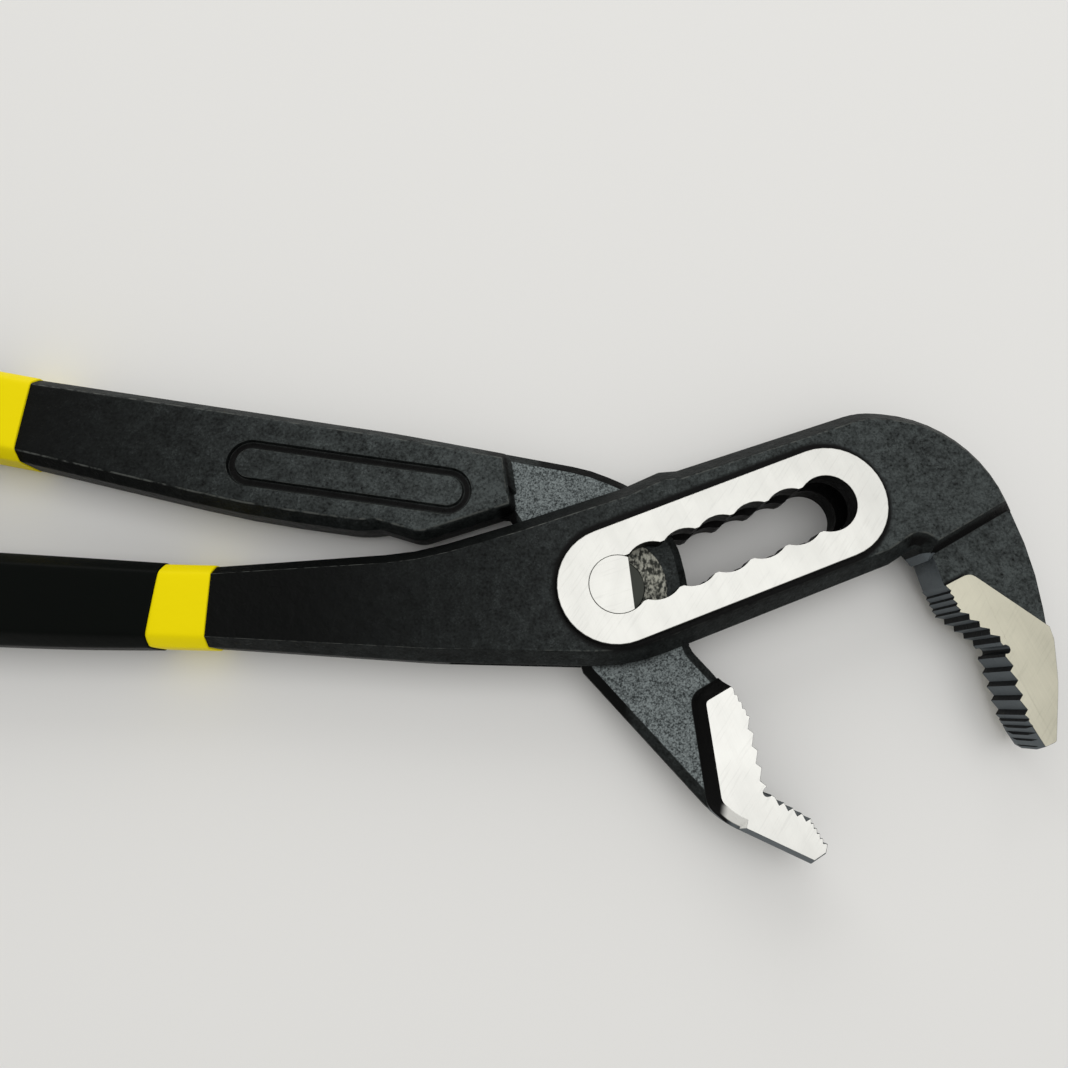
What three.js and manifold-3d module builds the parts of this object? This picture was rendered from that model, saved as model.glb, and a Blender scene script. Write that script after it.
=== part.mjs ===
// Adjustable water pump pliers with a through joint and a seven-step slot, lying flat.
// Millimetres. The pin axis is +Z through the origin, Z = 0 is the plane the tool lies on,
// and the jaws point to +X.
import * as THREE from 'three';
import { mergeVertices } from 'three/addons/utils/BufferGeometryUtils.js';
import Module from 'manifold-3d';

const wasm = await Module();
wasm.setup();

// Joint sizes
const JOINT_THICKNESS = 14;        // over both ground bosses
const BOSS_HEIGHT = 0.8;           // each boss above its cheek
const BOSS_RADIUS = 10.5;
const BOSS_OVERRUN = 0.5;          // boss end centre past the slot end centre
const BOSS_CHAMFER = 0.3;
const PIN_RADIUS = 4.95;
const PIN_FLAT = 2.2;              // pin axis to the flat on its ends
const PIN_FLAT_ANGLE = 6;          // direction the flat faces, degrees from +X
const RUNNING_CLEARANCE = 0.25;    // every sliding or turning fit
const SLOT_ANGLE = 21.4;           // degrees from +X
const SLOT_PITCH = 6.75;
const SLOT_POSITIONS = 7;
const SLOT_NECK = 8.6;             // slot width between two positions
const TONGUE_THICKNESS = 4;
const TONGUE_LAND = 1.5;           // upright part of the tongue's edge
const TONGUE_SLOPE = 1.3;          // run of its sloped part for each millimetre of height
const TONGUE_ROUND = 0.4;
const EYE_RADIUS = 9.3;
const EYE_STEP = 0.4;              // eye above the tongue, each side

// Forging sizes
const HANDLE_THICKNESS = 10.4;     // bare handle at the shoulder
const HEAD_BELOW = 13.8;           // slot axis to the lower edge of the head
const HEAD_ABOVE_REAR = 17.6;      // slot axis to the upper edge behind the pin
const HEAD_ABOVE_FRONT = 14.6;     // the same at the root of the hook
const HOOK_RADIUS = 24;
const NIB_HEIGHT = 0.8;            // small peak on the upper edge of the head
const EDGE_LAND = 6;               // upright part of the forged edges, about the parting line
const EDGE_SLOPE = 0.75;           // run of the sloped part for each millimetre of its height
const EDGE_ROUND = 0.9;            // radius where the slope meets the land and the face
const HEEL_LAND = 4;               // upright part of the stop heel under the upper handle
const HEEL_SLOPE = 0.3;
const JAW_THICKNESS = 8.2;         // over the ground jaw faces
const JAW_LAND = 4;
const JAW_SLOPE = 0.4;
const JAW_FACE_HEIGHT = 0.4;       // ground face above the forged skin of the upper jaw
const JAW_FOOT_SLOPE = 1;          // foot of the lower jaw's ground face
const JAW_TIP_SLOPE = 0.4;         // the same along the back of its tip
const GULLET_RADIUS = 0.75;
const COARSE_TOOTH_DEPTH = 0.8;
const FINE_TOOTH_DEPTH = 0.4;
const COARSE_TEETH = 4;            // on each flank of a jaw
const ROOT_TEETH = 4;              // fine teeth beside the head
const TIP_TEETH = 5;               // fine teeth at the jaw tip
const TOOTH_LEAN = 0.7;            // share of a tooth taken by its long face
const PANEL_LENGTH = 45.5;         // grooved panel on the upper handle
const PANEL_WIDTH = 8.9;
const PANEL_GROOVE = 1.7;          // width of the groove round the panel
const PANEL_DEPTH = 0.7;
const PANEL_DRAFT = 0.35;          // slope of the groove's walls
const PANEL_ANGLE = -8;

// Handle lines: where the covers start, which way they run and how far they bow, in degrees
const LOWER_SHOULDER = [-72.2, -3.8];
const LOWER_DIRECTION = 179.1;
const LOWER_BOW = -4.5;
const LOWER_HANDLE_WIDTH = 14.3;
const UPPER_SHOULDER = [-111.4, 31.6];
const HANDLE_SPREAD = 9.8;         // between the two handles
const UPPER_BOW = 3.5;
const UPPER_HANDLE_WIDTH = 16.2;
const TAPER_START = -16;           // the lower handle thins from here to its tang

// Dipped handle covers
const TANG_STEP = 1.3;             // shoulder of the forging above the covered tang
const LINER_WALL = 1.4;
const LINER_STEP = 0.45;           // band stands above the covered part of the liner
const BAND_LENGTH = 9.8;
const GRIP_WALL = 0.75;
const GRIP_END_WALL = 2.2;
const GRIP_LENGTH = 100;           // band included
const GRIP_SWELL = 0.8;            // thicker towards the handle end
const GRIP_DOME = 7;               // length of the rounded handle end
const DOME_ANGLE = 78;             // part of a quarter circle before its flat tip, degrees
const DOME_FLATNESS = 0.7;         // lower is blunter
const COVER_ROUND = 1.6;           // radius along the edges of a cover

const ARC_STEP = 7.5;              // degrees per facet on rounded corners
const EDGE_STEP = 20;              // the same on the forged edges
const COVER_STEP = 30;             // the same on the covers' edges
const ROUND_STEPS = 40;            // facets on the pin and its seats
const GULLET_STEPS = 16;
const SWEEP_STEPS = 5;
const DOME_STEPS = 4;

const MID = JOINT_THICKNESS / 2;
const HEAD_THICKNESS = JOINT_THICKNESS - 2 * BOSS_HEIGHT;
const EYE_THICKNESS = TONGUE_THICKNESS + 2 * EYE_STEP;
const WINDOW = EYE_THICKNESS + 2 * RUNNING_CLEARANCE;
const TRAVEL = (SLOT_POSITIONS - 1) * SLOT_PITCH;
const RADIANS = Math.PI / 180;
const WELD = 1e-5;

const point = (x, y) => new THREE.Vector2(x, y);
const heading = (degrees) => point(Math.cos(degrees * RADIANS), Math.sin(degrees * RADIANS));
const slotAxis = heading(SLOT_ANGLE);
const slotPoint = (along, across) => point(
  along * slotAxis.x - across * slotAxis.y,
  along * slotAxis.y + across * slotAxis.x,
);
const slotEnd = slotPoint(TRAVEL, 0);
const headRear = -13.3;            // slot stations of the head's two upper corners
const headFront = TRAVEL + 15;
const fromSlotEnd = (x, y, radius = 0) => [slotEnd.x + x, slotEnd.y + y, radius];

// Outlines

// Polygon of [x, y, radius] corners, each corner rounded by its radius, or by less where the
// arcs at the two ends of an edge would meet.
function rounded(corners, step = ARC_STEP) {
  const spots = corners.map(([x, y, radius = 0], index) => {
    const before = corners.at(index - 1);
    const after = corners[(index + 1) % corners.length];
    const back = point(before[0] - x, before[1] - y);
    const ahead = point(after[0] - x, after[1] - y);
    const half = back.angleTo(ahead) / 2;
    return { corner: point(x, y), back, ahead, half, run: radius / Math.tan(half) };
  });
  return spots.flatMap(({ corner, back, ahead, half, run }, index) => {
    if (run === 0) {
      return [corner];
    }
    const runBefore = spots.at(index - 1).run;
    const runAfter = spots[(index + 1) % spots.length].run;
    const fit = Math.min(1, back.length() / (run + runBefore), ahead.length() / (run + runAfter));
    const start = corner.clone().addScaledVector(back.clone().normalize(), run * fit);
    const middle = back.clone().normalize().add(ahead.clone().normalize()).normalize();
    const centre = corner.clone().addScaledVector(middle, run * fit / Math.cos(half));
    const turn = Math.sign(ahead.cross(back)) * (Math.PI - 2 * half);
    const facets = Math.max(2, Math.ceil(Math.abs(turn) / RADIANS / step));
    return Array.from({ length: facets + 1 }, (_, facet) => (
      start.clone().rotateAround(centre, turn * facet / facets)));
  });
}

// The outline moved inward, corner by corner.
function inset(outline, distance) {
  return outline.map((corner, index) => {
    const incoming = corner.clone().sub(outline.at(index - 1)).normalize();
    const outgoing = outline[(index + 1) % outline.length].clone().sub(corner).normalize();
    const inward = point(-incoming.y - outgoing.y, incoming.x + outgoing.x);
    return corner.clone().addScaledVector(inward, distance / (1 + incoming.dot(outgoing)));
  });
}

function circle(centre, radius, facets = ROUND_STEPS) {
  return Array.from({ length: facets }, (_, facet) => heading(360 * facet / facets)
    .multiplyScalar(radius).add(centre));
}

// Two half circles about a and b.
function obround(a, b, radius) {
  const along = b.clone().sub(a).angle() / RADIANS;
  const facets = ROUND_STEPS / 2;
  const ends = [[b, along - 90], [a, along + 90]];
  return ends.flatMap(([centre, first]) => Array.from({ length: facets + 1 }, (_, facet) => (
    heading(first + 180 * facet / facets).multiplyScalar(radius).add(centre))));
}

// Saw teeth from a to b: tips on the line, valleys to its left by the depth.
function sawTeeth(a, b, count, depth) {
  const run = b.clone().sub(a).divideScalar(count);
  const inward = point(-run.y, run.x).normalize().multiplyScalar(depth);
  const teeth = [];
  for (let tooth = 0; tooth < count; tooth += 1) {
    const tip = a.clone().addScaledVector(run, tooth);
    teeth.push(tip, tip.clone().addScaledVector(run, TOOTH_LEAN).add(inward));
  }
  return teeth;
}

// Solids

function solid(positions, triangles) {
  return new wasm.Manifold(new wasm.Mesh({
    numProp: 3,
    vertProperties: new Float32Array(positions),
    triVerts: new Uint32Array(triangles),
  }));
}

// Upright prism of an outline, its foot at z = 0.
function extruded(outline, height) {
  const geometry = new THREE.ExtrudeGeometry(new THREE.Shape(outline), {
    depth: height, bevelEnabled: false,
  });
  geometry.deleteAttribute('normal');
  geometry.deleteAttribute('uv');
  return mergeVertices(geometry, WELD);
}

const closed = (geometry) => solid(geometry.attributes.position.array, geometry.index.array);
const prism = (outline, low, high) => closed(extruded(outline, high - low).translate(0, 0, low));
const plate = (outline, thickness) => prism(outline, MID - thickness / 2, MID + thickness / 2);
const through = (outline) => prism(outline, -JOINT_THICKNESS, 2 * JOINT_THICKNESS);

// Skin over a row of closed loops of the same size, with a flat cap on the first and the last.
function loft(loops, capOutline) {
  const size = loops[0].length;
  const last = (loops.length - 1) * size;
  const positions = loops.flat().flatMap((vertex) => vertex.toArray());
  const triangles = [];
  for (let row = 0; row < last; row += size) {
    for (let side = 0; side < size; side += 1) {
      const a = row + side;
      const b = row + (side + 1) % size;
      triangles.push(a, b, b + size, a, b + size, a + size);
    }
  }
  for (const [a, b, c] of THREE.ShapeUtils.triangulateShape(capOutline, [])) {
    triangles.push(a, c, b, last + a, last + b, last + c);
  }
  return solid(positions, triangles);
}

// Plate about the mid plane with an upright land at the parting line, sloped edges outside it
// and both ends of the slope rounded.
function forging(outline, thickness, land, slope, round = 0) {
  const ring = THREE.ShapeUtils.isClockWise(outline) ? outline.toReversed() : outline;
  const run = slope * (thickness - land) / 2;
  const edge = rounded([
    [0, 0], [0, land / 2, round], [run, thickness / 2, round], [2 * run + round, thickness / 2],
  ], EDGE_STEP).slice(1, -1);
  const row = (depth, height) => inset(ring, depth).map(({ x, y }) => (
    new THREE.Vector3(x, y, MID + height)));
  return loft([
    ...edge.toReversed().map(({ x, y }) => row(x, -y)),
    ...edge.map(({ x, y }) => row(x, y)),
  ], ring);
}

function piece(name, body, colour, roughness, metalness) {
  const { vertProperties, triVerts } = body.getMesh();
  const geometry = new THREE.BufferGeometry();
  geometry.setAttribute('position', new THREE.BufferAttribute(vertProperties, 3));
  geometry.setIndex(new THREE.BufferAttribute(triVerts, 1));
  geometry.computeVertexNormals();
  const material = new THREE.MeshStandardMaterial({ color: colour, roughness, metalness });
  const mesh = new THREE.Mesh(geometry, material);
  mesh.name = name;
  return mesh;
}

// Handle sections, swept along a gently bowed line from the shoulder to the handle end

function handleLine({ shoulder, direction, bow }) {
  return (distance) => {
    const turned = bow * distance / GRIP_LENGTH / 2;
    const ahead = heading(direction + turned);
    const facing = heading(direction + 2 * turned);
    return {
      centre: shoulder.clone().addScaledVector(ahead, distance),
      across: point(-facing.y, facing.x),
    };
  };
}

// Section of the bare handle, grown outward by an offset and shrunk by a scale.
function sectionOutline(width, growth, scale) {
  const mitre = Math.tan(Math.PI / 8);
  const half = width / 2 + growth;
  const deep = HANDLE_THICKNESS / 2 + growth;
  const land = EDGE_LAND / 2 + growth * mitre;
  const crown = (width - EDGE_SLOPE * (HANDLE_THICKNESS - EDGE_LAND)) / 2 + growth * mitre;
  const quarter = [[half, land], [crown, deep]];
  const corners = [
    ...quarter,
    ...quarter.toReversed().map(([x, y]) => [-x, y]),
    ...quarter.map(([x, y]) => [-x, -y]),
    ...quarter.toReversed().map(([x, y]) => [x, -y]),
  ];
  return rounded(corners.map(([x, y]) => [x * scale, y * scale, COVER_ROUND * scale]), COVER_STEP);
}

function sectionLoop(handle, distance, growth, scale = 1) {
  const { centre, across } = handleLine(handle)(distance);
  return sectionOutline(handle.width, growth, scale).map(({ x, y }) => new THREE.Vector3(
    centre.x + across.x * x, centre.y + across.y * x, MID + y,
  ));
}

const cover = (handle, loops) => loft(loops, sectionOutline(handle.width, 0, 1));

const tangGrowth = -TANG_STEP;
const linerBore = tangGrowth + RUNNING_CLEARANCE;
const bandSkin = linerBore + LINER_WALL;
const linerSkin = bandSkin - LINER_STEP;
const gripBore = linerSkin + RUNNING_CLEARANCE;
const gripSkin = gripBore + GRIP_WALL;
const linerEnd = GRIP_LENGTH - GRIP_END_WALL - RUNNING_CLEARANCE;
const tangEnd = linerEnd - LINER_WALL - RUNNING_CLEARANCE;
const linerMouth = RUNNING_CLEARANCE;
const gripMouth = linerMouth + BAND_LENGTH;

// Loops from one distance to another with a growth that may swell along the way.
function sweep(handle, from, to, growth, swell = 0) {
  return Array.from({ length: SWEEP_STEPS + 1 }, (_, step) => {
    const share = step / SWEEP_STEPS;
    return sectionLoop(handle, from + (to - from) * share, growth + swell * share);
  });
}

// Rounded closed end: the section shrinks along a flattened quarter circle.
function dome(handle, from, to, growth) {
  return Array.from({ length: DOME_STEPS }, (_, step) => {
    const angle = DOME_ANGLE * RADIANS * (step + 1) / DOME_STEPS;
    const reach = from + (to - from) * Math.sin(angle);
    return sectionLoop(handle, reach, growth, Math.cos(angle) ** DOME_FLATNESS);
  });
}

// The tang starts inside the bare handle.
function tang(handle) {
  return cover(handle, sweep(handle, -GRIP_DOME, tangEnd, tangGrowth));
}

function liner(handle) {
  const step = RUNNING_CLEARANCE / 2;
  return cover(handle, [
    ...sweep(handle, tangEnd + RUNNING_CLEARANCE, linerMouth, linerBore),
    ...sweep(handle, linerMouth, gripMouth - step, bandSkin),
    ...sweep(handle, gripMouth + step, linerEnd, linerSkin),
  ]);
}

function grip(handle) {
  const mouth = gripMouth + RUNNING_CLEARANCE;
  const domeStart = GRIP_LENGTH - GRIP_DOME;
  return cover(handle, [
    ...sweep(handle, linerEnd + RUNNING_CLEARANCE, mouth, gripBore),
    ...sweep(handle, mouth, domeStart, gripSkin, GRIP_SWELL),
    ...dome(handle, domeStart, GRIP_LENGTH, gripSkin + GRIP_SWELL),
  ]);
}

const lowerHandle = {
  shoulder: point(...LOWER_SHOULDER),
  direction: LOWER_DIRECTION,
  bow: LOWER_BOW,
  width: LOWER_HANDLE_WIDTH,
};
const upperHandle = {
  shoulder: point(...UPPER_SHOULDER),
  direction: LOWER_DIRECTION - HANDLE_SPREAD,
  bow: UPPER_BOW,
  width: UPPER_HANDLE_WIDTH,
};

// Edge of the bare forging on one side of the handle line, from past its shoulder to the shoulder
// on the first side and back again on the other.
function shoulderEdge(handle, side) {
  const corners = [GRIP_DOME, 0].map((distance) => {
    const { centre, across } = handleLine(handle)(distance);
    return centre.addScaledVector(across, side * handle.width / 2).toArray();
  });
  return side > 0 ? corners : corners.toReversed();
}

// Everything from the square shoulder, where a cover starts, to the handle end.
function pastShoulder(handle) {
  const { centre, across } = handleLine(handle)(0);
  const ahead = point(across.y, -across.x).multiplyScalar(GRIP_LENGTH);
  const corners = [-1, 1].map((side) => centre.clone().addScaledVector(across, side * handle.width));
  return through([...corners, ...corners.toReversed().map((corner) => corner.clone().add(ahead))]);
}

// Slotted arm: lower handle, head with the slot, hook and upper jaw

function slottedArm() {
  const upperEdge = (along, rise = 0) => {
    const share = (along - headRear) / (headFront - headRear);
    const { x, y } = slotPoint(
      along, HEAD_ABOVE_REAR + (HEAD_ABOVE_FRONT - HEAD_ABOVE_REAR) * share + rise,
    );
    return [x, y];
  };
  const lowerEdge = (along) => slotPoint(along, -HEAD_BELOW).toArray();
  const head = forging(rounded([
    ...shoulderEdge(lowerHandle, 1),
    [-32, -13.4, 120],
    [...lowerEdge(-3.2), 34],
    lowerEdge(TRAVEL + 7),
    fromSlotEnd(16.6, -7, 1),
    fromSlotEnd(18.6, -9.6),
    fromSlotEnd(35, -0.3),
    fromSlotEnd(29.7, 17.4, HOOK_RADIUS),
    [...upperEdge(headFront), 15],
    upperEdge(18.8),
    upperEdge(15.6, NIB_HEIGHT),
    upperEdge(8),
    upperEdge(headRear),
    [-36, 6.2, 50],
    ...shoulderEdge(lowerHandle, -1),
  ]), HEAD_THICKNESS, EDGE_LAND, EDGE_SLOPE, EDGE_ROUND);

  const bosses = forging(
    obround(slotPoint(-BOSS_OVERRUN, 0), slotPoint(TRAVEL + BOSS_OVERRUN, 0), BOSS_RADIUS),
    JOINT_THICKNESS, JOINT_THICKNESS - 2 * BOSS_CHAMFER, 1,
  );
  return head.subtract(handleTaper()).subtract(pastShoulder(lowerHandle)).add(tang(lowerHandle))
    .add(bosses).add(upperJaw()).subtract(joinWindow()).subtract(steppedSlot());
}

// Two wedges that thin the handle from the head's thickness to the shoulder's.
function handleTaper() {
  const shoulder = lowerHandle.shoulder.x;
  const end = shoulder - GRIP_DOME;
  const slope = (HEAD_THICKNESS - HANDLE_THICKNESS) / 2 / (TAPER_START - shoulder);
  const thin = slope * (TAPER_START - end);
  const wedge = [
    point(TAPER_START, 0), point(end, -thin), point(end, BOSS_HEIGHT), point(TAPER_START, BOSS_HEIGHT),
  ];
  const width = 4 * LOWER_HANDLE_WIDTH;
  const upright = extruded(wedge, width).rotateX(Math.PI / 2).translate(0, width / 2, HEAD_THICKNESS / 2);
  const front = closed(upright.clone().translate(0, 0, MID));
  const rear = closed(upright.rotateX(Math.PI).translate(0, 0, MID));
  return front.add(rear);
}

// Opening between the cheeks, wide enough for the inner arm at every setting and angle.
function joinWindow() {
  const past = 2 * HEAD_ABOVE_REAR;
  return plate(rounded([
    [-44.4, 2.8 - past], [-17.6, 2.8], [-16.6, 8], [-24, 19.5], [-24, 19.5 + past],
    fromSlotEnd(22, past), fromSlotEnd(22, 6, 4), fromSlotEnd(15, -4, 4), fromSlotEnd(15, -past),
  ]), WINDOW);
}

function steppedSlot() {
  const seat = PIN_RADIUS + RUNNING_CLEARANCE;
  let slot = through([
    slotPoint(0, -SLOT_NECK / 2), slotPoint(TRAVEL, -SLOT_NECK / 2),
    slotPoint(TRAVEL, SLOT_NECK / 2), slotPoint(0, SLOT_NECK / 2),
  ]);
  for (let position = 0; position < SLOT_POSITIONS; position += 1) {
    slot = slot.add(through(circle(slotPoint(position * SLOT_PITCH, 0), seat)));
  }
  return slot;
}

function upperJaw() {
  const outline = rounded([
    fromSlotEnd(16, 1), fromSlotEnd(20.5, -16), fromSlotEnd(34.1, -42.3),
    fromSlotEnd(36.7, -41.2, 1.2), fromSlotEnd(38.6, -31, 30), fromSlotEnd(39, -23.6),
    fromSlotEnd(38.5, -21.2), fromSlotEnd(38.1, -9, 60), fromSlotEnd(35.1, -0.4),
    fromSlotEnd(30, 4),
  ]);
  const groundArea = rounded([
    fromSlotEnd(18, -15.6), fromSlotEnd(25.4, -11.9, 2), fromSlotEnd(45, -26.5),
    fromSlotEnd(45, -50), fromSlotEnd(20, -50),
  ]);
  const skin = forging(outline, JAW_THICKNESS - 2 * JAW_FACE_HEIGHT, JAW_LAND, JAW_SLOPE);
  const face = forging(outline, JAW_THICKNESS, JAW_LAND, JAW_SLOPE / 2).intersect(through(groundArea));
  return skin.add(face).subtract(upperBite());
}

// Working edge of a jaw: fine and coarse teeth to the gullet, coarse and fine teeth to the tip.
function bite(edge, depthSign, outside) {
  const fine = depthSign * FINE_TOOTH_DEPTH;
  const coarse = depthSign * COARSE_TOOTH_DEPTH;
  const profile = [
    edge.top,
    ...sawTeeth(edge.root, edge.knee, ROOT_TEETH, fine),
    ...sawTeeth(edge.knee, edge.hollow, COARSE_TEETH, coarse),
    edge.hollow, edge.gullet,
    ...sawTeeth(edge.crest, edge.bend, COARSE_TEETH, coarse),
    ...sawTeeth(edge.bend, edge.tip, TIP_TEETH, fine),
    edge.tip, ...outside,
  ];
  return through(profile).add(through(circle(edge.gullet, GULLET_RADIUS, GULLET_STEPS)));
}

function upperBite() {
  const at = (x, y) => slotEnd.clone().add(point(x, y));
  const edge = {
    top: at(16.9, -6.5), root: at(20.9, -14.5), knee: at(22.6, -19), hollow: at(29.1, -24.2),
    gullet: at(29.9, -25.4), crest: at(29.6, -26.7), bend: at(31.5, -36.5), tip: at(33.7, -42.2),
  };
  return bite(edge, 1, [at(34.3, -50), at(5, -50), at(5, -6.5)]);
}

// Inner arm: upper handle, tongue through the window, lower jaw

function innerArm() {
  const tongue = forging(rounded([
    [-40, 22], [-34, 14], [-19.2, 13], [-10.8, 0, 12], [-5.8, -15],
    [14.8, -37.2, 3], [18, -39.9, 10], [31.2, -45.8], [34.2, -43.5], [30, -34], [18.3, -16.2],
    [13, -10.4, 4], [13.5, 0.4, 20], [11.8, 8.6, 12], [3.6, 19.4, 8], [-4, 22.8, 30], [-20, 25.8],
    [-30, 27],
  ]), TONGUE_THICKNESS, TONGUE_LAND, TONGUE_SLOPE, TONGUE_ROUND);
  const eye = plate(circle(point(0, 0), EYE_RADIUS), EYE_THICKNESS);
  const pinHole = through(circle(point(0, 0), PIN_RADIUS + RUNNING_CLEARANCE));
  return tongue.add(eye).add(upperHandleForging()).add(lowerJawFaces()).add(tang(upperHandle))
    .subtract(lowerBite()).subtract(pinHole).subtract(panelGroove());
}

// Bar of the handle with its stop heel, both ending in a sloped step down to the tongue.
function upperHandleForging() {
  const bar = forging(rounded([
    ...shoulderEdge(upperHandle, 1), [-68, 13.1, 200], [-46, 10, 20], [-33, 12],
    [-18.1, 17.7], [-19.3, 25, 2], [-40.5, 29, 200], ...shoulderEdge(upperHandle, -1),
  ]), HANDLE_THICKNESS, EDGE_LAND, EDGE_SLOPE, EDGE_ROUND);
  const heel = forging(rounded([
    [-50, 20], [-46, 11.6, 4], [-35.5, 8.4, 5], [-18, 14.2, 1.5], [-19.4, 22], [-21, 22],
  ]), HANDLE_THICKNESS, HEEL_LAND, HEEL_SLOPE, EDGE_ROUND);
  return bar.subtract(pastShoulder(upperHandle)).add(heel);
}

function lowerJawFaces() {
  const root = forging(rounded([
    [22, -13.3], [12.6, -18.7, 3], [14.8, -37.2, 4], [18, -39.9, 10], [31.6, -46], [34.2, -44.4],
    [35.4, -40], [28, -30],
  ]), JAW_THICKNESS, JAW_LAND, JAW_FOOT_SLOPE);
  const tip = forging(rounded([
    [22, -32], [19.6, -40.6], [31.6, -46], [34.2, -44.4], [35.4, -40], [28, -30],
  ]), JAW_THICKNESS, JAW_LAND, JAW_TIP_SLOPE);
  return root.add(tip);
}

function lowerBite() {
  const edge = {
    top: point(18.3, -16.4), root: point(19.8, -17.6), knee: point(22.3, -22.2),
    hollow: point(24.3, -33.4), gullet: point(24.5, -34.5), crest: point(25.7, -35.3),
    bend: point(31.4, -38.6), tip: point(33.6, -42.5),
  };
  return bite(edge, -1, [point(40, -45), point(50, -30), point(40, -10), point(13, -10)]);
}

// Groove round a flat field in the front face of the upper handle.
function panelGroove() {
  const centre = point(-48.7, 19.8);
  const along = heading(PANEL_ANGLE).multiplyScalar((PANEL_LENGTH - PANEL_WIDTH) / 2);
  const ends = [centre.clone().sub(along), centre.clone().add(along)];
  const face = MID + HANDLE_THICKNESS / 2;
  const drafted = (radius, draft) => loft([-PANEL_DEPTH, PANEL_DEPTH].map((height) => (
    obround(...ends, radius + draft * height).map(({ x, y }) => (
      new THREE.Vector3(x, y, face + height))))), obround(...ends, radius));
  const outer = PANEL_WIDTH / 2;
  return drafted(outer, PANEL_DRAFT).subtract(drafted(outer - PANEL_GROOVE, -PANEL_DRAFT));
}

// Pivot pin: round in the eye, flatted where it stands in the slot, ground flush with the bosses
function pivotPin() {
  const pin = prism(circle(point(0, 0), PIN_RADIUS), 0, JOINT_THICKNESS);
  const wide = 2 * PIN_RADIUS;
  const origin = point(0, 0);
  const beyondFlat = [
    point(PIN_FLAT, -wide), point(wide, -wide), point(wide, wide), point(PIN_FLAT, wide),
  ].map((corner) => corner.rotateAround(origin, PIN_FLAT_ANGLE * RADIANS));
  const round = EYE_THICKNESS / 2 + RUNNING_CLEARANCE;
  return pin.subtract(prism(beyondFlat, MID + round, JOINT_THICKNESS))
    .subtract(prism(beyondFlat, 0, MID - round));
}

const pliers = new THREE.Group();
pliers.add(
  piece('slotted_arm', slottedArm(), 0x26282a, 0.55, 0.8),
  piece('inner_arm', innerArm(), 0x2b2d2f, 0.55, 0.8),
  piece('pivot_pin', pivotPin(), 0xd4d4cf, 0.3, 1),
  piece('lower_band_liner', liner(lowerHandle), 0xe8d800, 0.45, 0),
  piece('upper_band_liner', liner(upperHandle), 0xe8d800, 0.45, 0),
  piece('lower_grip', grip(lowerHandle), 0x141516, 0.5, 0),
  piece('upper_grip', grip(upperHandle), 0x141516, 0.5, 0),
);

export default pliers;
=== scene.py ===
"""Water pump pliers: finishes, dipped covers, floor, light and camera round the CAD frame."""
import math

import bmesh
import bpy
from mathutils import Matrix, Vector


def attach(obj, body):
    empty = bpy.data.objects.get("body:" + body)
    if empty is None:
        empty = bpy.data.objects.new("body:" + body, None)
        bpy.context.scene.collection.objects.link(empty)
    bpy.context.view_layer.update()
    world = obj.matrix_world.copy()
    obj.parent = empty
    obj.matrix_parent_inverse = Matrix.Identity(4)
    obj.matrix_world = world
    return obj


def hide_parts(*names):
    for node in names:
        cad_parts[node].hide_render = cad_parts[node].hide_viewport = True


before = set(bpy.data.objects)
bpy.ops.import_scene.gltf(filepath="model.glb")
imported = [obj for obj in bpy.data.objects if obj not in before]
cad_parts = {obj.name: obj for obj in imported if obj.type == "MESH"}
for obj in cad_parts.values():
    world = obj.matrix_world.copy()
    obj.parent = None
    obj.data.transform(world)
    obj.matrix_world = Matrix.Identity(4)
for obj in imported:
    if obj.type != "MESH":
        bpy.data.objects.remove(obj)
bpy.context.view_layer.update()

MM = 0.001

# Places in the pliers, in millimetres in the shared frame, which has the pin at its origin
MID = 7.0                        # parting plane of both forgings
SLOT_ANGLE = 21.4                # degrees from +X
SLOT_TRAVEL = 40.5
BOSS_RADIUS = 10.5
BOSS_SHADE_WIDTH = 1.1                 # painted shade round the boss's foot, this wide
BOSS_FACE = 6.97                 # ground faces start this far from the parting plane
PAD_FACE = 4.06                  # ground jaw pads likewise
HANDLE_FACE = 5.2                # face of the upper handle likewise
TONGUE_FACE = 2.0                # blasted face of the tongue likewise
EYE_FACE = 2.4                   # face round the pin's hole likewise
EYE_RADIUS = 9.5
SEAT_RADIUS = 5.4
SEAT_SIDE = 1.0                  # the seat that holds the pin closes round it left of this
SEAT_DEPTH = 4.0                 # and is bright further out than this
PIN_RADIUS = 4.95
PIN_SIDE = 3.2                   # round sides of the pin are bright further out than this
PIN_GROWTH = 0.036               # the pin fills its seat by this share of its radius

# Upper jaw
UPPER_JAW = (52.5, 6.5)          # lies right of and below this point
UPPER_WALL = (3.7, 5.4)          # depths of the wall above its pad
UPPER_FOOT = (-0.447, 0.894)     # direction across the foot of that wall
UPPER_FOOT_AT = -25.64           # place of the foot in that direction
UPPER_FOOT_RUN = (54.5, 63.0)    # left and right end of the foot

# Lower jaw
LOWER_JAW_LEFT = 12.0
LOWER_JAW_TOP = -16.6            # bare teeth are below this
LOWER_JAW_BACK = -37.0           # and the bare back of the tip below this
JAW_CORNER = (17.3, -36.5)       # the pad's groove runs out right of and below this point
JAW_CORNER_RIGHT = 21.3          # and has ended here
JAW_CORNER_DEPTH = 2.6           # its slope is further out than this, its low edge further in

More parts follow.
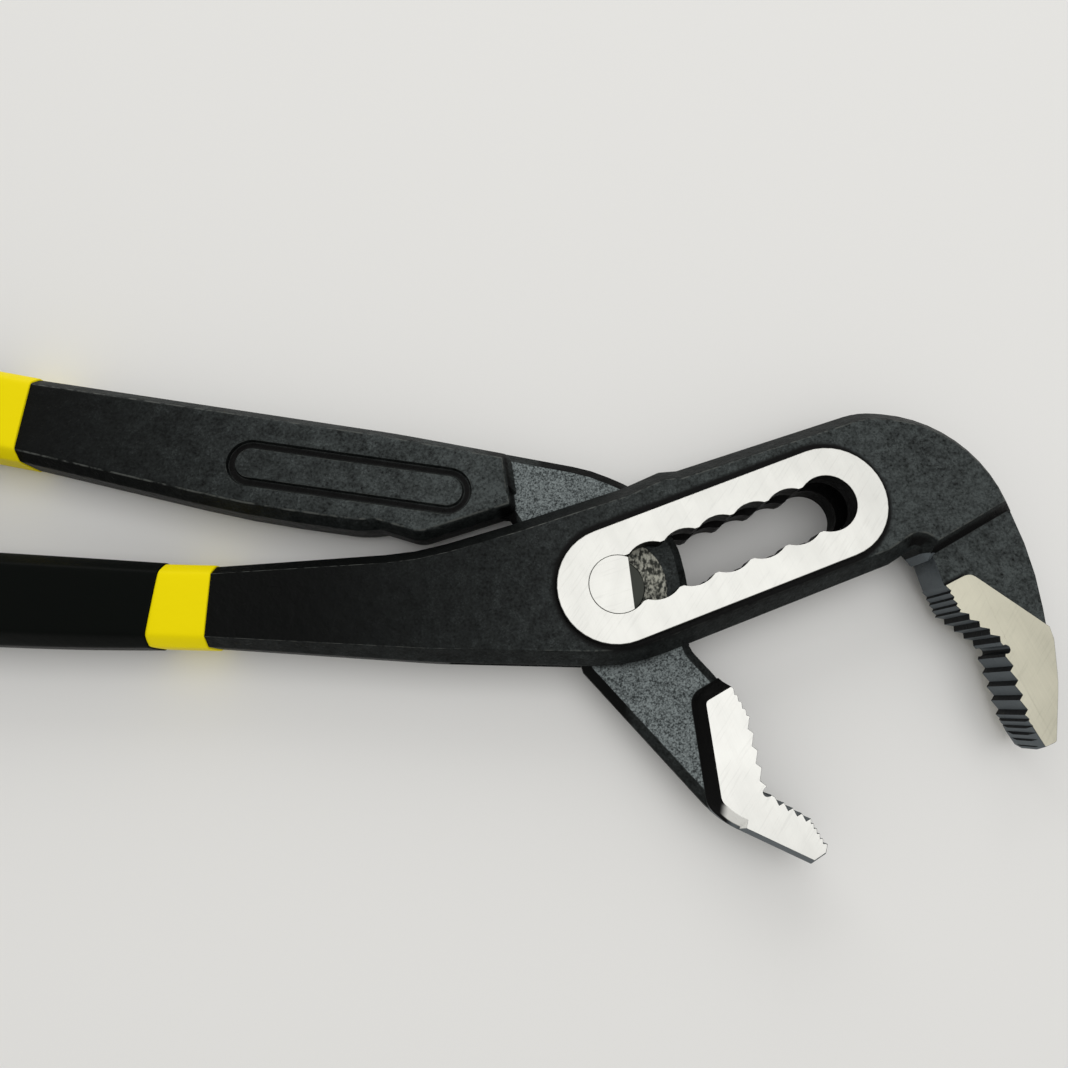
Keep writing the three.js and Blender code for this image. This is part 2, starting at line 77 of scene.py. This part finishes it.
# Upper handle and tongue
STEP = (-18.5, -15.4)            # the handle steps down to the tongue between these
STEP_SLANT = 0.19                # lean of that step, to the left for each millimetre up
STEP_LOW = 5.0                   # lower end of the step
TONGUE_START = 14.0              # blasted further than this from the pin; nearer, under the head, the tongue stays black as painted shade and oil
PANEL = (-48.7, 19.8)            # middle of the grooved panel
PANEL_ANGLE = -8.0
PANEL_RUN = 18.3                 # middle of the panel to the centre of its round ends
PANEL_GROOVE = 3.6               # those centres to the middle of the groove
PANEL_DEPTH = 4.3                # the groove is further out than this
PANEL_RIGHT = -22.5              # and left of this

# Wear and painted light on the black skin: where it is half, and how far to either side it fades
SLOTTED_WEAR_AND_LIGHT = (-8.0, 52.0)
# painted light on the slotted arm's down-facing faces, left of the pin
SLOTTED_UNDER_PAINTED_LIGHT = (0.0, 6.0)
HANDLE_WEAR_AND_LIGHT = (-62.0, 58.0)
HANDLE_WEAR_AND_LIGHT_END = (-14.0, 1.0)
# painted highlight along the upper handle's top edge
HANDLE_TOP_PAINTED_HIGHLIGHT = (-25.0, 3.0)
LOWER_JAW_WEAR_AND_LIGHT = (2.0, 1.0)

# Handle covers: middle of the shoulder where they start, and degrees to the handle end
LOWER_HANDLE = ((-72.2, -3.8), 179.1)
UPPER_HANDLE = ((-111.4, 31.6), 169.3)
BAND_START = 0.25                # shoulder to the mouth of the yellow cover
GRIP_START = 10.3                # shoulder to the mouth of the black cover
HOLD_LOOPS = (0.25, 0.8)         # extra loops behind a cover's mouth, which keep its edge crisp
LIP = 1.2                        # part of a cover that moves with its mouth
HALF_WIDTH = 8.0                 # of a covered handle
FEATHER = 0.045                  # share by which a black cover thins out at its mouth
COVER_WELD = 2e-6                # metres, as the next
COVER_CUT = 1e-7
COVER_FLAT = 12                  # degrees between triangles that make one face, as the next
COVER_SQUARE = 60
COVER_ROUNDS = 2                 # subdivisions

# Edges of the steel pieces
EDGE_BREAK = 0.06                # sharp edges are broken by this
SHARP_ANGLE = 34                 # degrees
EDGE_MERGE = 7e-5                # metres between points that become one

# Directions that faces look in
OUTWARD = (0, 0, 1)
TOPWARD = (0, 1, 0)
DOWNWARD = (0, -1, 0)
UPPER_BITE = (-0.85, -0.5, 0)
UPPER_UNDER = (0.5, -0.87, 0)
LOWER_BITE = (0.8, 0.6, 0)
LOWER_BACK = (0.35, -0.94, 0)

# Textures: cells to a millimetre, detail and, where it has one, stretch
GRAIN = (2.0, 3.0)
SAND = (3.4, 2.0)
LUMPS = (0.45, 3.0)
CLOUD = (0.05, 3.0)
DENTS = (1.0, 2.0)
RUB = (0.7, 3.0)
EYE_MOTTLE = (1.6, 5.0, (1.0, 0.5, 1.0))
FINE_LINES = (1.0, 2.0, (2.6, 0.05, 0.4))
BROAD_LINES = (1.0, 2.0, (0.5, 0.03, 0.1))
SCUFFS = (1.0, 2.0, (3.0, 0.16, 1.0))
GROUND_CLOUD = (0.16, 3.0)
PEEL = (0.55, 2.0)
DUST = (3.0, 2.0)
CRYSTALS = 2.8                   # cells to a millimetre
CRYSTAL_TONES = (0.5, 0.3, 0.2)  # shares of a cell's random colour

# Grinding directions in degrees
BOSS_GRIND = -23.0
PIN_GRIND = 14.0
SCUFF_TURN = 58.0                # from the grinding direction

# Heights of the relief in millimetres
SKIN_RELIEF = 0.07
SAND_RELIEF = 0.06
LUMP_RELIEF = 0.3
DENT_RELIEF = 0.05
LINE_RELIEF = 0.004
PEEL_RELIEF = 0.06
DUST_RELIEF = 0.006

# Sheen, the shader's specular level
FORGED_SHEEN = 0.08
DIP_SHEEN = 0.05
FLOOR_SHEEN = 0.2

# Roughness: least, and what the texture adds
FORGED_ROUGH = (0.40, 0.2)
GROUND_ROUGH = (0.26, 0.16)
YELLOW_ROUGH = (0.42, 0.12)
BLACK_ROUGH = (0.40, 0.12)
FLOOR_ROUGH = 0.85

# Colours, linear
BLACK_FORGED = (0.0010, 0.0014, 0.0013)
# Worn black skin, which also carries painted light that grows towards the joint
BLACK_WORN_AND_LIT = (0.060, 0.070, 0.070)
BLASTED_DARK = (0.022, 0.027, 0.028)
BLASTED_LIGHT = (0.215, 0.246, 0.250)
EDGE_WEAR = (0.07, 0.075, 0.07)
# Painted shade in recesses, steps and grooves
PAINTED_SHADE = (0.002, 0.002, 0.002)
GROUND = (0.53, 0.53, 0.505)
UPPER_PAD = (0.44, 0.425, 0.345)
LOWER_PAD = (0.58, 0.58, 0.555)
# Painted reflection: the white of the run-out slope of the jaw's groove
RUN_OUT_PAINTED_REFLECTION = (0.80, 0.80, 0.77)
EYE_DARK = (0.03, 0.032, 0.028)
EYE_LIGHT = (0.36, 0.36, 0.31)
# Teeth flanks: painted shade and painted light, by the way each faces
TOOTH_SHADED = (0.012, 0.013, 0.014)
TOOTH_LIT = (0.12, 0.138, 0.15)
YELLOW_DIP = (0.86, 0.71, 0.001)
BLACK_DIP = (0.0012, 0.0020, 0.0015)
FLOOR = (0.80, 0.80, 0.79)
ROOM = (1.0, 0.985, 0.955)

# Studio, in metres
FLOOR_HALF = 1.5
ROOM_STRENGTH = 0.55

# Camera found from the photo
CAMERA_AT = (-0.01457, -0.02056, 0.140)
CAMERA_LOOK = (-0.0013, 0.2272, -0.9739)
CAMERA_LENS = 24.708
CAMERA_SENSOR = 36.0
CAMERA_NEAR = 0.01

ONE_ARM_ONLY = ("pad", "blasted", "eye", "run_out_painted_reflection")   # zones that one of the arms lacks


class Value:
    """A shader socket with arithmetic."""

    def __init__(self, tree, socket):
        self.tree = tree
        self.socket = socket

    def node(self, kind, settings=(), **inputs):
        """Any node, its inputs given by name or, after an underscore, by number."""
        made = self.tree.nodes.new(kind)
        for name, value in dict(settings).items():
            setattr(made, name, value)
        for name, value in inputs.items():
            key = int(name[1:]) if name[0] == "_" else name.replace("_", " ")
            self.feed(made.inputs[key], value)
        return made

    def feed(self, socket, value):
        if isinstance(value, Value):
            self.tree.links.new(value.socket, socket)
        else:
            socket.default_value = value

    def take(self, made, output=0):
        return Value(self.tree, made.outputs[output])

    def maths(self, operation, *values):
        inputs = {f"_{i}": value for i, value in enumerate(values)}
        return self.take(self.node("ShaderNodeMath", {"operation": operation}, **inputs))

    def __add__(self, other):
        return self.maths("ADD", self, other)

    def __radd__(self, other):
        return self.maths("ADD", other, self)

    def __sub__(self, other):
        return self.maths("SUBTRACT", self, other)

    def __rsub__(self, other):
        return self.maths("SUBTRACT", other, self)

    def __mul__(self, other):
        return self.maths("MULTIPLY", self, other)

    def __rmul__(self, other):
        return self.maths("MULTIPLY", other, self)

    def away(self):
        """Distance from 0."""
        return self.maths("ABSOLUTE", self)

    def either(self, other):
        return self.maths("MAXIMUM", self, other)

    def held(self, low, high):
        return self.maths("MINIMUM", self.maths("MAXIMUM", self, low), high)

    def reach(self, other):
        """Length of the step with these two sides."""
        return self.maths("SQRT", self * self + other * other)

    def above(self, edge, soft):
        """0 below the edge, 1 above it, with a change this soft to either side."""
        made = self.node("ShaderNodeMapRange", {"interpolation_type": "SMOOTHSTEP"},
                         Value=self, From_Min=edge - soft, From_Max=edge + soft)
        return self.take(made)

    def below(self, edge, soft):
        return 1.0 - self.above(edge, soft)

    def pick(self, low, high):
        """Colour between two, by this value."""
        made = self.node("ShaderNodeMix", {"data_type": "RGBA"}, _0=self)
        for socket, colour in zip(made.inputs[6:8], (low, high)):
            self.feed(socket, colour if isinstance(colour, Value) else (*colour, 1.0))
        return self.take(made, 2)

    def between(self, low, high):
        """Number between two, by this value."""
        return self.take(self.node("ShaderNodeMix", (), _0=self, _2=low, _3=high))

    def noise(self, scale, detail, stretch=(1.0, 1.0, 1.0)):
        """Noise of this many cells to a millimetre."""
        sized = self.node("ShaderNodeVectorMath", {"operation": "MULTIPLY"}, _0=self, _1=stretch)
        made = self.node("ShaderNodeTexNoise", (),
                         Vector=self.take(sized), Scale=scale, Detail=detail)
        return self.take(made)

    def cells(self, scale):
        """Cells, each of one random colour."""
        return self.take(self.node("ShaderNodeTexVoronoi", (), Vector=self, Scale=scale), "Color")

    def dot(self, direction):
        made = self.node("ShaderNodeVectorMath", {"operation": "DOT_PRODUCT"},
                         _0=self, _1=direction)
        return self.take(made, "Value")

    def turned(self, degrees):
        made = self.node("ShaderNodeVectorRotate", {"rotation_type": "Z_AXIS"},
                         Vector=self, Angle=math.radians(degrees))
        return self.take(made)


def finish(name):
    """Empty material: its shader node, the place in millimetres and the surface direction."""
    material = bpy.data.materials.new(name)
    material.use_nodes = True
    tree = material.node_tree
    shader = tree.nodes["Principled BSDF"]
    start = Value(tree, shader.inputs["Base Color"])
    coordinates = start.node("ShaderNodeTexCoord")
    scaled = start.node("ShaderNodeVectorMath", {"operation": "SCALE"},
                        _0=start.take(coordinates, "Object"), Scale=1.0 / MM)
    return material, shader, start.take(scaled), start.take(coordinates, "Normal")


def axes(place):
    made = place.node("ShaderNodeSeparateXYZ", (), _0=place)
    return [place.take(made, i) for i in range(3)]


def line_reach(x, y, middle, angle, start, end):
    """Distance from a line through the middle, between a start and an end along it."""
    turn = math.radians(angle)
    right, up = x - middle[0], y - middle[1]
    along = right * math.cos(turn) + up * math.sin(turn)
    across = up * math.cos(turn) - right * math.sin(turn)
    return (along - along.held(start, end)).reach(across)


def bump(height, millimetres=1.0):
    made = height.node("ShaderNodeBump", (), Strength=1.0, Distance=millimetres * MM, Height=height)
    return height.take(made)


def toned(tone, colour):
    made = tone.node("ShaderNodeVectorMath", {"operation": "SCALE"}, _0=colour, Scale=tone)
    return tone.take(made)


def ground_steel(place, angle):
    """Tone, roughness and lines of a face ground in one direction."""
    turned = place.turned(angle)
    fine = turned.noise(*FINE_LINES)
    broad = turned.noise(*BROAD_LINES)
    scuffs = place.turned(angle + SCUFF_TURN).noise(*SCUFFS).above(0.62, 0.08)
    cloud = place.noise(*GROUND_CLOUD)
    tone = 0.74 + fine * 0.18 + broad * 0.14 + cloud * 0.20 - scuffs * 0.07
    return tone, GROUND_ROUGH[0] + fine * GROUND_ROUGH[1], fine


def arm_finish(name, zones, ground_colour):
    """Blackened forging by zone: ground faces, blasted tongue, teeth with painted light and shade,
    wear with painted light, painted shade in recesses and a painted reflection.
    """
    material, shader, place, facing = finish(name)
    x, y, z = axes(place)
    depth = (z - MID).away()
    level = facing.dot(OUTWARD).away()
    zone = {**dict.fromkeys(ONE_ARM_ONLY, x * 0.0), **zones(x, y, depth, level, facing)}
    grain = place.noise(*GRAIN)
    sand = place.noise(*SAND)
    lumps = place.noise(*LUMPS)
    cloud = place.noise(*CLOUD)
    crystal = place.cells(CRYSTALS).dot(CRYSTAL_TONES)
    dents = place.noise(*DENTS).above(0.67, 0.05)

    # Black skin, worn and lit by painted light on open faces and towards the joint, and rubbed on
    # rounded edges
    speck = crystal * 0.2 + grain * 0.8 + lumps * 0.4 + cloud * 0.2
    flecks = (sand * 0.6 + lumps * 0.4).above(0.60, 0.06)
    open_face = 0.3 + level.above(0.85, 0.1) * 0.7
    worn_and_lit = zone["wear_and_light"] * open_face * (speck * 2.0 - 1.04 + flecks * 0.6)
    rubbed = (level.above(0.78, 0.06) * level.below(0.95, 0.02)
              * place.noise(*RUB).above(0.5, 0.12) * depth.above(TONGUE_FACE + 0.4, 0.1))
    colour = rubbed.pick(worn_and_lit.pick(BLACK_FORGED, BLACK_WORN_AND_LIT), EDGE_WEAR)

    # Blasted steel, painted shade in recesses, teeth with painted light and shade, and the eye
    blast = (sand * 0.6 + crystal * 0.2 + lumps * 0.2).above(0.5, 0.17)
    colour = zone["blasted"].pick(colour, blast.pick(BLASTED_DARK, BLASTED_LIGHT))
    colour = zone["painted_shade"].pick(colour, PAINTED_SHADE)
    # Teeth: flanks facing the light are painted light, the others painted shade
    bright = (zone["lit"] * 0.8 + grain * 0.3).above(0.6, 0.35)
    colour = zone["teeth"].pick(colour, bright.pick(TOOTH_SHADED, TOOTH_LIT))
    mottle = (place.noise(*EYE_MOTTLE) * 0.8 + grain * 0.3).above(0.57, 0.1)
    colour = zone["eye"].pick(colour, mottle.pick(EYE_DARK, EYE_LIGHT))

    # Ground faces, and the run-out slope painted white as a painted reflection
    tone, steel_rough, lines = ground_steel(place, BOSS_GRIND)
    colour = zone["ground"].pick(colour, toned(tone, ground_colour))
    colour = zone["pad"].pick(colour, toned(tone, UPPER_PAD))
    colour = zone["run_out_painted_reflection"].pick(colour, RUN_OUT_PAINTED_REFLECTION)
    ground = zone["ground"] + zone["pad"]
    rough = ground.between(FORGED_ROUGH[0] + grain * FORGED_ROUGH[1], steel_rough)
    skin = ((grain * 0.6 + crystal * 0.4) * SKIN_RELIEF + sand * zone["blasted"] * SAND_RELIEF
            + lumps * LUMP_RELIEF) * (1.0 - zone["teeth"] * 0.7)
    relief = ground.between(skin - dents * DENT_RELIEF, lines * LINE_RELIEF)

    ground.feed(shader.inputs["Base Color"], colour)
    ground.feed(shader.inputs["Roughness"], rough)
    ground.feed(shader.inputs["Metallic"], ground + (zone["teeth"] + zone["eye"]) * 0.5)
    ground.feed(shader.inputs["Normal"], bump(relief))
    shader.inputs["Specular IOR Level"].default_value = FORGED_SHEEN
    return material


def slotted_zones(x, y, depth, level, facing):
    """Where the slotted arm has each finish, and where light and shade are painted."""
    flat = level.above(0.9, 0.05)
    down = facing.dot(DOWNWARD)
    slot = line_reach(x, y, (0.0, 0.0), SLOT_ANGLE, 0.0, SLOT_TRAVEL)
    # Painted shade round the boss's foot
    boss_shade = slot.below(BOSS_RADIUS + BOSS_SHADE_WIDTH, 0.45) * depth.below(BOSS_FACE - 0.05, 0.02)
    seat = ((x * x + y * y).below(SEAT_RADIUS ** 2, 0.5) * x.below(SEAT_SIDE, 0.5)
            * depth.above(SEAT_DEPTH, 0.2))
    jaw = x.above(UPPER_JAW[0], 0.05) * y.below(UPPER_JAW[1], 0.05)
    bite = jaw * facing.dot(UPPER_BITE).above(-0.25, 0.05)
    # Painted shade on the wall from head to jaw, and along the foot of the wall above the pad
    wall = (facing.dot(UPPER_UNDER).above(0.3, 0.1) * x.above(UPPER_JAW[0], 0.5)
            * depth.above(UPPER_WALL[0], 0.1) * depth.below(UPPER_WALL[1], 0.5))
    over_foot = x * UPPER_FOOT[0] + y * UPPER_FOOT[1] - UPPER_FOOT_AT
    foot = (x.above(UPPER_FOOT_RUN[0], 0.3) * x.below(UPPER_FOOT_RUN[1], 1.5)
            * over_foot.above(0.0, 0.1) * over_foot.below(0.5, 0.4) * flat)
    # Painted light on down-facing faces of the handle
    under_painted_light = down.above(0.35, 0.2) * x.below(*SLOTTED_UNDER_PAINTED_LIGHT)
    return {
        "ground": depth.above(BOSS_FACE, 0.01).either(seat),
        "pad": jaw * depth.above(PAD_FACE, 0.02) * depth.below(PAD_FACE + 0.3, 0.1) * flat,
        "teeth": bite * depth.below(PAD_FACE + 0.1, 0.05) * (1.0 - flat),
        # Painted light on teeth flanks that face down
        "lit": down.above(0.25, 0.3),
        "painted_shade": boss_shade + wall + foot,
        # Wear and painted light, lighter towards the joint
        "wear_and_light": x.above(*SLOTTED_WEAR_AND_LIGHT) + under_painted_light * 0.6,
    }


def inner_zones(x, y, depth, level, facing):
    """Where the inner arm has each finish, and where light and shade are painted."""
    flat = level.above(0.97, 0.015)
    upright = level.below(0.5, 0.1)
    top = facing.dot(TOPWARD)
    pin_reach = x.reach(y)

    # Lower jaw
    jaw = x.above(LOWER_JAW_LEFT, 0.05)
    bite = jaw * facing.dot(LOWER_BITE).above(-0.1, 0.05)
    behind = facing.dot(LOWER_BACK).above(0.1, 0.05)
    back = y.below(LOWER_JAW_BACK, 1.5) * behind
    pad = jaw * depth.above(PAD_FACE, 0.02) * flat
    # Painted shade on the lower jaw's sloped foot
    foot = jaw * depth.above(TONGUE_FACE + 0.05, 0.05) * level.above(0.5, 0.1) * (1.0 - flat)
    # The groove's run-out: its slope gets a painted reflection, its low edge painted light
    corner = (x.above(JAW_CORNER[0], 0.7) * x.below(JAW_CORNER_RIGHT, 0.2)
              * y.below(JAW_CORNER[1], 0.4) * (1.0 - behind * upright) * (1.0 - pad))
    low_edge = (corner * depth.below(JAW_CORNER_DEPTH, 0.1) * x.above(JAW_CORNER[0] + 1.0, 0.7))

    # Upper handle, and the step down to the tongue; painted shade in that step and in the panel's
    # groove
    past_wall = x + y * STEP_SLANT
    step = (past_wall.above(STEP[0], 0.6) * past_wall.below(STEP[1], 0.35) * y.above(STEP_LOW, 0.5)
            * depth.below(HANDLE_FACE - 0.5, 0.3))
    ring = line_reach(x, y, PANEL, PANEL_ANGLE, -PANEL_RUN, PANEL_RUN) - PANEL_GROOVE
    groove = (x.below(PANEL_RIGHT, 0.05) * ring.away().below(0.6, 0.4)
              * depth.above(PANEL_DEPTH, 0.1) * facing.dot(OUTWARD).above(0.2, 0.1))
    # Wear and painted light along the handle, lighter towards the joint
    handle_wear_and_light = x.above(*HANDLE_WEAR_AND_LIGHT) * x.below(*HANDLE_WEAR_AND_LIGHT_END)
    # Painted highlight along the handle's top edge
    top_painted_highlight = top.above(0.5, 0.2) * x.below(*HANDLE_TOP_PAINTED_HIGHLIGHT)
    return {
        "ground": pad,
        "run_out_painted_reflection": corner * depth.above(JAW_CORNER_DEPTH, 0.1),
        # Painted light on teeth flanks that face up, on the tip's back and on the run-out's low
        # edge
        "lit": top.above(-0.1, 0.3) + back + low_edge,
        "wear_and_light": handle_wear_and_light * 1.2 + x.above(*LOWER_JAW_WEAR_AND_LIGHT) * 0.8 + top_painted_highlight,
        "teeth": low_edge.either(bite.either(back) * upright * y.below(LOWER_JAW_TOP, 0.3)),
        "painted_shade": groove + step + foot,
        "blasted": (flat * depth.below(TONGUE_FACE + 0.05, 0.03) * past_wall.above(STEP[0], 0.1)
                    * pin_reach.above(TONGUE_START, 1.5)),
        "eye": (flat * depth.above(EYE_FACE - 0.06, 0.03) * depth.below(EYE_FACE + 0.06, 0.03)
                * pin_reach.below(EYE_RADIUS, 0.05)),
    }


def pin_finish():
    """Ground ends and sides; the flats and the ledges under them stay dark."""
    material, shader, place, _ = finish("ground_steel")
    tone, rough, lines = ground_steel(place, PIN_GRIND)
    x, y, z = axes(place)
    depth = (z - MID).away()
    side = (x * x + y * y).above((PIN_RADIUS - 0.06) ** 2, 0.2) * depth.above(PIN_SIDE, 0.1)
    bright = depth.above(BOSS_FACE - 0.02, 0.01).either(side)
    bright.feed(shader.inputs["Base Color"], bright.pick(EYE_DARK, toned(tone, GROUND)))
    bright.feed(shader.inputs["Roughness"], rough)
    bright.feed(shader.inputs["Normal"], bump(lines, LINE_RELIEF))
    shader.inputs["Metallic"].default_value = 1.0
    return material


def dip_finish(name, colour, rough):
    """Dipped plastic: soft sheen and a faint orange peel."""
    material, shader, place, _ = finish(name)
    peel = place.noise(*PEEL)
    dust = place.noise(*DUST)
    peel.feed(shader.inputs["Roughness"], rough[0] + dust * rough[1])
    peel.feed(shader.inputs["Normal"], bump(peel * PEEL_RELIEF + dust * DUST_RELIEF))
    shader.inputs["Base Color"].default_value = (*colour, 1.0)
    shader.inputs["Specular IOR Level"].default_value = DIP_SHEEN
    return material


def soft_edges(node, growth=0.0):
    """Rounds a CAD node's sharp edges and shades its curved faces smooth, as modifiers, and
    widens it about the pin axis by a share."""
    tree = bpy.data.node_groups.new(f"{node.name}_shading", "GeometryNodeTree")
    for way in ("INPUT", "OUTPUT"):
        tree.interface.new_socket("Geometry", in_out=way, socket_type="NodeSocketGeometry")
    start = Value(tree, tree.nodes.new("NodeGroupInput").outputs[0])
    plain = start.node("GeometryNodeRemoveAttribute", (), Geometry=start, Name="custom_normal")
    joined = start.node("GeometryNodeMergeByDistance", (),
                        Geometry=start.take(plain), Distance=EDGE_MERGE)
    further = start.node("ShaderNodeVectorMath", {"operation": "MULTIPLY"},
                         _0=start.take(start.node("GeometryNodeInputPosition")),
                         _1=(growth, growth, 0.0))
    wide = start.node("GeometryNodeSetPosition", (),
                      Geometry=start.take(joined), Offset=start.take(further))
    smooth = start.node("GeometryNodeSetShadeSmooth", {"domain": "FACE"},
                        Geometry=start.take(wide), Shade_Smooth=True)
    fold = start.take(start.node("GeometryNodeInputMeshEdgeAngle"))
    blunt = fold.maths("LESS_THAN", fold, math.radians(SHARP_ANGLE))
    sharp = start.node("GeometryNodeSetShadeSmooth", {"domain": "EDGE"},
                       Geometry=start.take(smooth), Shade_Smooth=blunt)
    start.feed(tree.nodes.new("NodeGroupOutput").inputs[0], start.take(sharp))
    shading = node.modifiers.new("shading", "NODES")
    shading.node_group = tree
    broken = node.modifiers.new("broken_edges", "BEVEL")
    broken.width = EDGE_BREAK * MM
    broken.segments = 2
    broken.limit_method = "ANGLE"
    broken.angle_limit = math.radians(SHARP_ANGLE)
    broken.use_clamp_overlap = False
    flat = node.modifiers.new("flat_faces", "WEIGHTED_NORMAL")
    flat.keep_sharp = True


def paint(obj, material):
    if not obj.material_slots:
        obj.data.materials.append(None)
    for holder in obj.material_slots:
        holder.material = material


def add(name, data):
    """New object in the scene."""
    obj = bpy.data.objects.new(name, data)
    bpy.context.scene.collection.objects.link(obj)
    return obj


def dipped(name, node, body, material, handle, mouth, creep, feather=0.0):
    """Finished cover in place of a plain CAD cover: smooth skin, crisp mouth and a lip that has
    crept over the forging by the two distances, on the upper and on the lower edge, and that
    thins out by a share of the cover's width."""
    (start_x, start_y), angle = handle
    ahead = Vector((math.cos(math.radians(angle)), math.sin(math.radians(angle)), 0))
    across = Vector((ahead.y, -ahead.x, 0))
    start = Vector((start_x, start_y, MID)) * MM
    bm = bmesh.new()
    bm.from_mesh(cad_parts[node].data)
    bmesh.ops.remove_doubles(bm, verts=bm.verts, dist=COVER_WELD)
    bmesh.ops.join_triangles(bm, faces=bm.faces, angle_face_threshold=math.radians(COVER_FLAT),
                             angle_shape_threshold=math.radians(COVER_SQUARE))
    for hold in HOLD_LOOPS:
        bmesh.ops.bisect_plane(bm, geom=bm.verts[:] + bm.edges[:] + bm.faces[:], dist=COVER_CUT,
                               plane_co=start + ahead * (mouth + hold) * MM, plane_no=ahead)
    for vert in bm.verts:
        place = vert.co - start
        share = 0.5 + place.dot(across) / (2 * HALF_WIDTH * MM)
        if place.dot(ahead) < (mouth + LIP) * MM:
            vert.co -= ahead * (creep[0] * share + creep[1] * (1 - share)) * MM
            vert.co -= (place - ahead * place.dot(ahead)) * feather
    bmesh.ops.recalc_face_normals(bm, faces=bm.faces)
    for face in bm.faces:
        face.smooth = True
    mesh = bpy.data.meshes.new(name)
    bm.to_mesh(mesh)
    bm.free()
    cover = add(name, mesh)
    round_off = cover.modifiers.new("round_off", "SUBSURF")
    round_off.levels = COVER_ROUNDS
    round_off.render_levels = COVER_ROUNDS
    paint(cover, material)
    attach(cover, body)
    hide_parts(node)


def lay_floor():
    bm = bmesh.new()
    bmesh.ops.create_grid(bm, x_segments=1, y_segments=1, size=FLOOR_HALF)
    mesh = bpy.data.meshes.new("floor")
    bm.to_mesh(mesh)
    bm.free()
    material = bpy.data.materials.new("floor")
    material.use_nodes = True
    shader = material.node_tree.nodes["Principled BSDF"]
    shader.inputs["Base Color"].default_value = (*FLOOR, 1.0)
    shader.inputs["Roughness"].default_value = FLOOR_ROUGH
    shader.inputs["Specular IOR Level"].default_value = FLOOR_SHEEN
    floor = add("floor", mesh)
    paint(floor, material)


def aim_along(holder, direction):
    """Turns a lamp or camera so that it looks in a direction."""
    holder.rotation_euler = Vector(direction).to_track_quat("-Z", "Y").to_euler()


def softbox(name, at, aim, size, watts, colour):
    lamp = bpy.data.lights.new(name, "AREA")
    lamp.shape = "RECTANGLE"
    lamp.size, lamp.size_y = size
    lamp.energy = watts
    lamp.color = colour
    holder = add(name, lamp)
    holder.location = at
    aim_along(holder, Vector(aim) - Vector(at))


# Finishes on the CAD nodes
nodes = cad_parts
paint(nodes["slotted_arm"], arm_finish("slotted_arm_finish", slotted_zones, GROUND))
paint(nodes["inner_arm"], arm_finish("inner_arm_finish", inner_zones, LOWER_PAD))
paint(nodes["pivot_pin"], pin_finish())
soft_edges(nodes["slotted_arm"])
soft_edges(nodes["inner_arm"])
soft_edges(nodes["pivot_pin"], PIN_GROWTH)

# Dipped covers
yellow = dip_finish("yellow_dip", YELLOW_DIP, YELLOW_ROUGH)
black = dip_finish("black_dip", BLACK_DIP, BLACK_ROUGH)
dipped("lower_yellow_underdip", "lower_band_liner", "slotted_arm", yellow,
       LOWER_HANDLE, BAND_START, creep=(0.5, 0.8))
dipped("lower_black_grip", "lower_grip", "slotted_arm", black,
       LOWER_HANDLE, GRIP_START, creep=(1.4, 0.45), feather=FEATHER)
dipped("upper_yellow_underdip", "upper_band_liner", "inner_arm", yellow,
       UPPER_HANDLE, BAND_START, creep=(0.8, 2.6))
dipped("upper_black_grip", "upper_grip", "inner_arm", black,
       UPPER_HANDLE, GRIP_START, creep=(0.0, 0.6), feather=FEATHER)

# Studio: a floor, one broad lamp overhead, a fill behind and a pale room
lay_floor()
softbox("overhead_softbox", at=(0.21, 0.10, 0.85), aim=(0.21, 0.10, 0.0), size=(0.90, 0.75),
        watts=2.79, colour=(1.0, 1.0, 1.0))
softbox("far_fill", at=(-0.25, 1.1, 0.55), aim=(0.0, 0.0, 0.0), size=(1.2, 0.6),
        watts=4.5, colour=(1.0, 0.99, 0.97))
world = bpy.data.worlds.new("room")
bpy.context.scene.world = world
world.use_nodes = True
room = world.node_tree.nodes["Background"]
room.inputs["Color"].default_value = (*ROOM, 1.0)
room.inputs["Strength"].default_value = ROOM_STRENGTH

# Camera
camera_data = bpy.data.cameras.new("camera")
camera_data.lens = CAMERA_LENS
camera_data.sensor_width = CAMERA_SENSOR
camera_data.clip_start = CAMERA_NEAR
camera = add("camera", camera_data)
camera.location = CAMERA_AT
aim_along(camera, CAMERA_LOOK)
bpy.context.scene.camera = camera

bpy.context.scene.view_settings.view_transform = "Standard"
